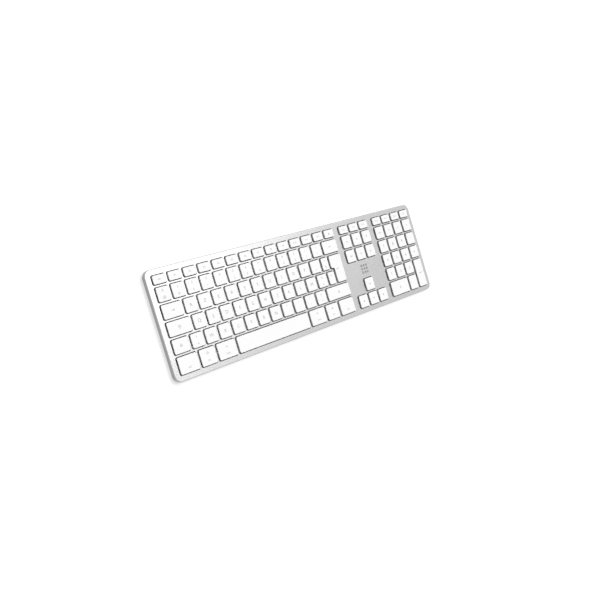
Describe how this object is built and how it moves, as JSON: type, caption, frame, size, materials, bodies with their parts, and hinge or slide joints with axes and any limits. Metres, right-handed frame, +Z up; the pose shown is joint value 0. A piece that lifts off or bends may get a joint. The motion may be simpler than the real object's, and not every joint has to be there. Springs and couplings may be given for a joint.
{
  "type": "computer keyboard with numeric keypad",
  "caption": "Full-size slim wireless keyboard with low white keys in a satin aluminium top plate and a numeric keypad block at the right.",
  "frame": {"origin": "under the middle of the top plate, on the surface that the feet stand on", "axes": "+X along the length to the numeric keypad, +Y to the rear edge with the charging socket, +Z up out of the key tops"},
  "size_m": [0.4356, 0.1218, 0.0085],
  "materials": {
    "plate_aluminium": "fine bead-blasted satin, clear anodised",
    "cover_plastic": "fine moulded texture, white",
    "foot_rubber": "soft matte, light grey",
    "base_steel": "black electrophoretic coat on pressed sheet",
    "contact_film": "polyester film printed black",
    "dome_silicone": "dark silicone",
    "scissor_plastic": "black acetal",
    "wire_steel": "bright drawn wire",
    "board_laminate": "green solder mask",
    "component_black": "black moulded packages",
    "screw_steel": "nickel-plated",
    "battery_pouch": "foil pouch",
    "lead_insulation": "flexible insulation",
    "socket_steel": "bright drawn shell",
    "switch_black": "moulded",
    "switch_white": "moulded, ribbed",
    "key_white": "fine satin, slightly sheened"
  },
  "bodies": {
    "case": {"top_plate": "plate_aluminium", "bottom_cover": "cover_plastic", "rubber_feet": "foot_rubber", "base_plate": "base_steel", "membrane_lower": "contact_film", "membrane_upper": "contact_film", "rubber_domes": "dome_silicone", "scissor_outer_frames": "scissor_plastic", "scissor_inner_frames": "scissor_plastic", "stabiliser_bars": "wire_steel", "controller_board": "board_laminate", "board_components": "component_black", "board_screws": "screw_steel", "case_screws": "screw_steel", "battery_pack": "battery_pouch", "battery_leads": "lead_insulation", "membrane_tail": "contact_film", "usb_socket": "socket_steel", "power_switch_housing": "switch_black"},
    "power_switch_slider": {"power_switch_slider": "switch_white"},
    "function_row_keys": {"function_row_keys": "key_white"},
    "number_row_keys": {"number_row_keys": "key_white"},
    "upper_letter_keys": {"upper_letter_keys": "key_white"},
    "home_letter_keys": {"home_letter_keys": "key_white"},
    "lower_letter_keys": {"lower_letter_keys": "key_white"},
    "modifier_keys": {"modifier_keys": "key_white"},
    "nav_keys": {"nav_keys": "key_white"},
    "space_bar": {"space_bar": "key_white"},
    "enter_key": {"enter_key": "key_white"},
    "backspace_key": {"backspace_key": "key_white"},
    "tab_key": {"tab_key": "key_white"},
    "caps_lock_key": {"caps_lock_key": "key_white"},
    "left_shift_key": {"left_shift_key": "key_white"},
    "right_shift_key": {"right_shift_key": "key_white"},
    "arrow_up_key": {"arrow_up_key": "key_white"},
    "arrow_left_key": {"arrow_left_key": "key_white"},
    "arrow_down_key": {"arrow_down_key": "key_white"},
    "arrow_right_key": {"arrow_right_key": "key_white"},
    "pad_0_key": {"pad_0_key": "key_white"},
    "pad_enter_key": {"pad_enter_key": "key_white"},
    "pad_point_key": {"pad_point_key": "key_white"},
    "pad_f1_key": {"pad_f1_key": "key_white"},
    "pad_7_key": {"pad_7_key": "key_white"},
    "pad_8_key": {"pad_8_key": "key_white"},
    "pad_9_key": {"pad_9_key": "key_white"},
    "pad_5_key": {"pad_5_key": "key_white"},
    "pad_plus_key": {"pad_plus_key": "key_white"},
    "pad_clear_key": {"pad_clear_key": "key_white"},
    "pad_1_key": {"pad_1_key": "key_white"},
    "pad_2_key": {"pad_2_key": "key_white"},
    "pad_3_key": {"pad_3_key": "key_white"},
    "pad_4_key": {"pad_4_key": "key_white"},
    "pad_6_key": {"pad_6_key": "key_white"},
    "pad_divide_key": {"pad_divide_key": "key_white"},
    "pad_equals_key": {"pad_equals_key": "key_white"},
    "pad_f2_key": {"pad_f2_key": "key_white"},
    "pad_f3_key": {"pad_f3_key": "key_white"},
    "pad_f4_key": {"pad_f4_key": "key_white"},
    "pad_minus_key": {"pad_minus_key": "key_white"},
    "pad_multiply_key": {"pad_multiply_key": "key_white"}
  },
  "joints": [
    {"name": "power_switch_slide", "type": "slide", "parent": "case", "child": "power_switch_slider", "axis": [1, 0, 0], "range_m": [0, 0.0024]},
    {"name": "function_row_press", "type": "slide", "parent": "case", "child": "function_row_keys", "axis": [0, 0, 1], "range_m": [-0.0013, 0], "stiffness_N_per_m": 3220, "springref_m": 0.0013, "deforming": ["rubber_domes", "scissor_outer_frames", "scissor_inner_frames", "stabiliser_bars"]},
    {"name": "number_row_press", "type": "slide", "parent": "case", "child": "number_row_keys", "axis": [0, 0, 1], "range_m": [-0.0013, 0], "stiffness_N_per_m": 2990, "springref_m": 0.0013, "deforming": ["rubber_domes", "scissor_outer_frames", "scissor_inner_frames", "stabiliser_bars"]},
    {"name": "upper_letter_press", "type": "slide", "parent": "case", "child": "upper_letter_keys", "axis": [0, 0, 1], "range_m": [-0.0013, 0], "stiffness_N_per_m": 2760, "springref_m": 0.0013, "deforming": ["rubber_domes", "scissor_outer_frames", "scissor_inner_frames", "stabiliser_bars"]},
    {"name": "home_letter_press", "type": "slide", "parent": "case", "child": "home_letter_keys", "axis": [0, 0, 1], "range_m": [-0.0013, 0], "stiffness_N_per_m": 2760, "springref_m": 0.0013, "deforming": ["rubber_domes", "scissor_outer_frames", "scissor_inner_frames", "stabiliser_bars"]},
    {"name": "lower_letter_press", "type": "slide", "parent": "case", "child": "lower_letter_keys", "axis": [0, 0, 1], "range_m": [-0.0013, 0], "stiffness_N_per_m": 2530, "springref_m": 0.0013, "deforming": ["rubber_domes", "scissor_outer_frames", "scissor_inner_frames", "stabiliser_bars"]},
    {"name": "modifier_press", "type": "slide", "parent": "case", "child": "modifier_keys", "axis": [0, 0, 1], "range_m": [-0.0013, 0], "stiffness_N_per_m": 1380, "springref_m": 0.0013, "deforming": ["rubber_domes", "scissor_outer_frames", "scissor_inner_frames", "stabiliser_bars"]},
    {"name": "nav_press", "type": "slide", "parent": "case", "child": "nav_keys", "axis": [0, 0, 1], "range_m": [-0.0013, 0], "stiffness_N_per_m": 2070, "springref_m": 0.0013, "deforming": ["rubber_domes", "scissor_outer_frames", "scissor_inner_frames", "stabiliser_bars"]},
    {"name": "space_bar_press", "type": "slide", "parent": "case", "child": "space_bar", "axis": [0, 0, 1], "range_m": [-0.0013, 0], "stiffness_N_per_m": 230, "springref_m": 0.0013, "deforming": ["rubber_domes", "scissor_outer_frames", "scissor_inner_frames", "stabiliser_bars"]},
    {"name": "enter_press", "type": "slide", "parent": "case", "child": "enter_key", "axis": [0, 0, 1], "range_m": [-0.0013, 0], "stiffness_N_per_m": 230, "springref_m": 0.0013, "deforming": ["rubber_domes", "scissor_outer_frames", "scissor_inner_frames", "stabiliser_bars"]},
    {"name": "backspace_press", "type": "slide", "parent": "case", "child": "backspace_key", "axis": [0, 0, 1], "range_m": [-0.0013, 0], "stiffness_N_per_m": 230, "springref_m": 0.0013, "deforming": ["rubber_domes", "scissor_outer_frames", "scissor_inner_frames", "stabiliser_bars"]},
    {"name": "tab_press", "type": "slide", "parent": "case", "child": "tab_key", "axis": [0, 0, 1], "range_m": [-0.0013, 0], "stiffness_N_per_m": 230, "springref_m": 0.0013, "deforming": ["rubber_domes", "scissor_outer_frames", "scissor_inner_frames", "stabiliser_bars"]},
    {"name": "caps_lock_press", "type": "slide", "parent": "case", "child": "caps_lock_key", "axis": [0, 0, 1], "range_m": [-0.0013, 0], "stiffness_N_per_m": 230, "springref_m": 0.0013, "deforming": ["rubber_domes", "scissor_outer_frames", "scissor_inner_frames", "stabiliser_bars"]},
    {"name": "left_shift_press", "type": "slide", "parent": "case", "child": "left_shift_key", "axis": [0, 0, 1], "range_m": [-0.0013, 0], "stiffness_N_per_m": 230, "springref_m": 0.0013, "deforming": ["rubber_domes", "scissor_outer_frames", "scissor_inner_frames", "stabiliser_bars"]},
    {"name": "right_shift_press", "type": "slide", "parent": "case", "child": "right_shift_key", "axis": [0, 0, 1], "range_m": [-0.0013, 0], "stiffness_N_per_m": 230, "springref_m": 0.0013, "deforming": ["rubber_domes", "scissor_outer_frames", "scissor_inner_frames", "stabiliser_bars"]},
    {"name": "arrow_up_press", "type": "slide", "parent": "case", "child": "arrow_up_key", "axis": [0, 0, 1], "range_m": [-0.0013, 0], "stiffness_N_per_m": 230, "springref_m": 0.0013, "deforming": ["rubber_domes", "scissor_outer_frames", "scissor_inner_frames", "stabiliser_bars"]},
    {"name": "arrow_left_press", "type": "slide", "parent": "case", "child": "arrow_left_key", "axis": [0, 0, 1], "range_m": [-0.0013, 0], "stiffness_N_per_m": 230, "springref_m": 0.0013, "deforming": ["rubber_domes", "scissor_outer_frames", "scissor_inner_frames", "stabiliser_bars"]},
    {"name": "arrow_down_press", "type": "slide", "parent": "case", "child": "arrow_down_key", "axis": [0, 0, 1], "range_m": [-0.0013, 0], "stiffness_N_per_m": 230, "springref_m": 0.0013, "deforming": ["rubber_domes", "scissor_outer_frames", "scissor_inner_frames", "stabiliser_bars"]},
    {"name": "arrow_right_press", "type": "slide", "parent": "case", "child": "arrow_right_key", "axis": [0, 0, 1], "range_m": [-0.0013, 0], "stiffness_N_per_m": 230, "springref_m": 0.0013, "deforming": ["rubber_domes", "scissor_outer_frames", "scissor_inner_frames", "stabiliser_bars"]},
    {"name": "pad_0_press", "type": "slide", "parent": "case", "child": "pad_0_key", "axis": [0, 0, 1], "range_m": [-0.0013, 0], "stiffness_N_per_m": 230, "springref_m": 0.0013, "deforming": ["rubber_domes", "scissor_outer_frames", "scissor_inner_frames", "stabiliser_bars"]},
    {"name": "pad_enter_press", "type": "slide", "parent": "case", "child": "pad_enter_key", "axis": [0, 0, 1], "range_m": [-0.0013, 0], "stiffness_N_per_m": 230, "springref_m": 0.0013, "deforming": ["rubber_domes", "scissor_outer_frames", "scissor_inner_frames", "stabiliser_bars"]},
    {"name": "pad_point_press", "type": "slide", "parent": "case", "child": "pad_point_key", "axis": [0, 0, 1], "range_m": [-0.0013, 0], "stiffness_N_per_m": 230, "springref_m": 0.0013, "deforming": ["rubber_domes", "scissor_outer_frames", "scissor_inner_frames", "stabiliser_bars"]},
    {"name": "pad_f1_press", "type": "slide", "parent": "case", "child": "pad_f1_key", "axis": [0, 0, 1], "range_m": [-0.0013, 0], "stiffness_N_per_m": 230, "springref_m": 0.0013, "deforming": ["rubber_domes", "scissor_outer_frames", "scissor_inner_frames", "stabiliser_bars"]},
    {"name": "pad_7_press", "type": "slide", "parent": "case", "child": "pad_7_key", "axis": [0, 0, 1], "range_m": [-0.0013, 0], "stiffness_N_per_m": 230, "springref_m": 0.0013, "deforming": ["rubber_domes", "scissor_outer_frames", "scissor_inner_frames", "stabiliser_bars"]},
    {"name": "pad_8_press", "type": "slide", "parent": "case", "child": "pad_8_key", "axis": [0, 0, 1], "range_m": [-0.0013, 0], "stiffness_N_per_m": 230, "springref_m": 0.0013, "deforming": ["rubber_domes", "scissor_outer_frames", "scissor_inner_frames", "stabiliser_bars"]},
    {"name": "pad_9_press", "type": "slide", "parent": "case", "child": "pad_9_key", "axis": [0, 0, 1], "range_m": [-0.0013, 0], "stiffness_N_per_m": 230, "springref_m": 0.0013, "deforming": ["rubber_domes", "scissor_outer_frames", "scissor_inner_frames", "stabiliser_bars"]},
    {"name": "pad_5_press", "type": "slide", "parent": "case", "child": "pad_5_key", "axis": [0, 0, 1], "range_m": [-0.0013, 0], "stiffness_N_per_m": 230, "springref_m": 0.0013, "deforming": ["rubber_domes", "scissor_outer_frames", "scissor_inner_frames", "stabiliser_bars"]},
    {"name": "pad_plus_press", "type": "slide", "parent": "case", "child": "pad_plus_key", "axis": [0, 0, 1], "range_m": [-0.0013, 0], "stiffness_N_per_m": 230, "springref_m": 0.0013, "deforming": ["rubber_domes", "scissor_outer_frames", "scissor_inner_frames", "stabiliser_bars"]},
    {"name": "pad_clear_press", "type": "slide", "parent": "case", "child": "pad_clear_key", "axis": [0, 0, 1], "range_m": [-0.0013, 0], "stiffness_N_per_m": 230, "springref_m": 0.0013, "deforming": ["rubber_domes", "scissor_outer_frames", "scissor_inner_frames", "stabiliser_bars"]},
    {"name": "pad_1_press", "type": "slide", "parent": "case", "child": "pad_1_key", "axis": [0, 0, 1], "range_m": [-0.0013, 0], "stiffness_N_per_m": 230, "springref_m": 0.0013, "deforming": ["rubber_domes", "scissor_outer_frames", "scissor_inner_frames", "stabiliser_bars"]},
    {"name": "pad_2_press", "type": "slide", "parent": "case", "child": "pad_2_key", "axis": [0, 0, 1], "range_m": [-0.0013, 0], "stiffness_N_per_m": 230, "springref_m": 0.0013, "deforming": ["rubber_domes", "scissor_outer_frames", "scissor_inner_frames", "stabiliser_bars"]},
    {"name": "pad_3_press", "type": "slide", "parent": "case", "child": "pad_3_key", "axis": [0, 0, 1], "range_m": [-0.0013, 0], "stiffness_N_per_m": 230, "springref_m": 0.0013, "deforming": ["rubber_domes", "scissor_outer_frames", "scissor_inner_frames", "stabiliser_bars"]},
    {"name": "pad_4_press", "type": "slide", "parent": "case", "child": "pad_4_key", "axis": [0, 0, 1], "range_m": [-0.0013, 0], "stiffness_N_per_m": 230, "springref_m": 0.0013, "deforming": ["rubber_domes", "scissor_outer_frames", "scissor_inner_frames", "stabiliser_bars"]},
    {"name": "pad_6_press", "type": "slide", "parent": "case", "child": "pad_6_key", "axis": [0, 0, 1], "range_m": [-0.0013, 0], "stiffness_N_per_m": 230, "springref_m": 0.0013, "deforming": ["rubber_domes", "scissor_outer_frames", "scissor_inner_frames", "stabiliser_bars"]},
    {"name": "pad_divide_press", "type": "slide", "parent": "case", "child": "pad_divide_key", "axis": [0, 0, 1], "range_m": [-0.0013, 0], "stiffness_N_per_m": 230, "springref_m": 0.0013, "deforming": ["rubber_domes", "scissor_outer_frames", "scissor_inner_frames", "stabiliser_bars"]},
    {"name": "pad_equals_press", "type": "slide", "parent": "case", "child": "pad_equals_key", "axis": [0, 0, 1], "range_m": [-0.0013, 0], "stiffness_N_per_m": 230, "springref_m": 0.0013, "deforming": ["rubber_domes", "scissor_outer_frames", "scissor_inner_frames", "stabiliser_bars"]},
    {"name": "pad_f2_press", "type": "slide", "parent": "case", "child": "pad_f2_key", "axis": [0, 0, 1], "range_m": [-0.0013, 0], "stiffness_N_per_m": 230, "springref_m": 0.0013, "deforming": ["rubber_domes", "scissor_outer_frames", "scissor_inner_frames", "stabiliser_bars"]},
    {"name": "pad_f3_press", "type": "slide", "parent": "case", "child": "pad_f3_key", "axis": [0, 0, 1], "range_m": [-0.0013, 0], "stiffness_N_per_m": 230, "springref_m": 0.0013, "deforming": ["rubber_domes", "scissor_outer_frames", "scissor_inner_frames", "stabiliser_bars"]},
    {"name": "pad_f4_press", "type": "slide", "parent": "case", "child": "pad_f4_key", "axis": [0, 0, 1], "range_m": [-0.0013, 0], "stiffness_N_per_m": 230, "springref_m": 0.0013, "deforming": ["rubber_domes", "scissor_outer_frames", "scissor_inner_frames", "stabiliser_bars"]},
    {"name": "pad_minus_press", "type": "slide", "parent": "case", "child": "pad_minus_key", "axis": [0, 0, 1], "range_m": [-0.0013, 0], "stiffness_N_per_m": 230, "springref_m": 0.0013, "deforming": ["rubber_domes", "scissor_outer_frames", "scissor_inner_frames", "stabiliser_bars"]},
    {"name": "pad_multiply_press", "type": "slide", "parent": "case", "child": "pad_multiply_key", "axis": [0, 0, 1], "range_m": [-0.0013, 0], "stiffness_N_per_m": 230, "springref_m": 0.0013, "deforming": ["rubber_domes", "scissor_outer_frames", "scissor_inner_frames", "stabiliser_bars"]}
  ]
}
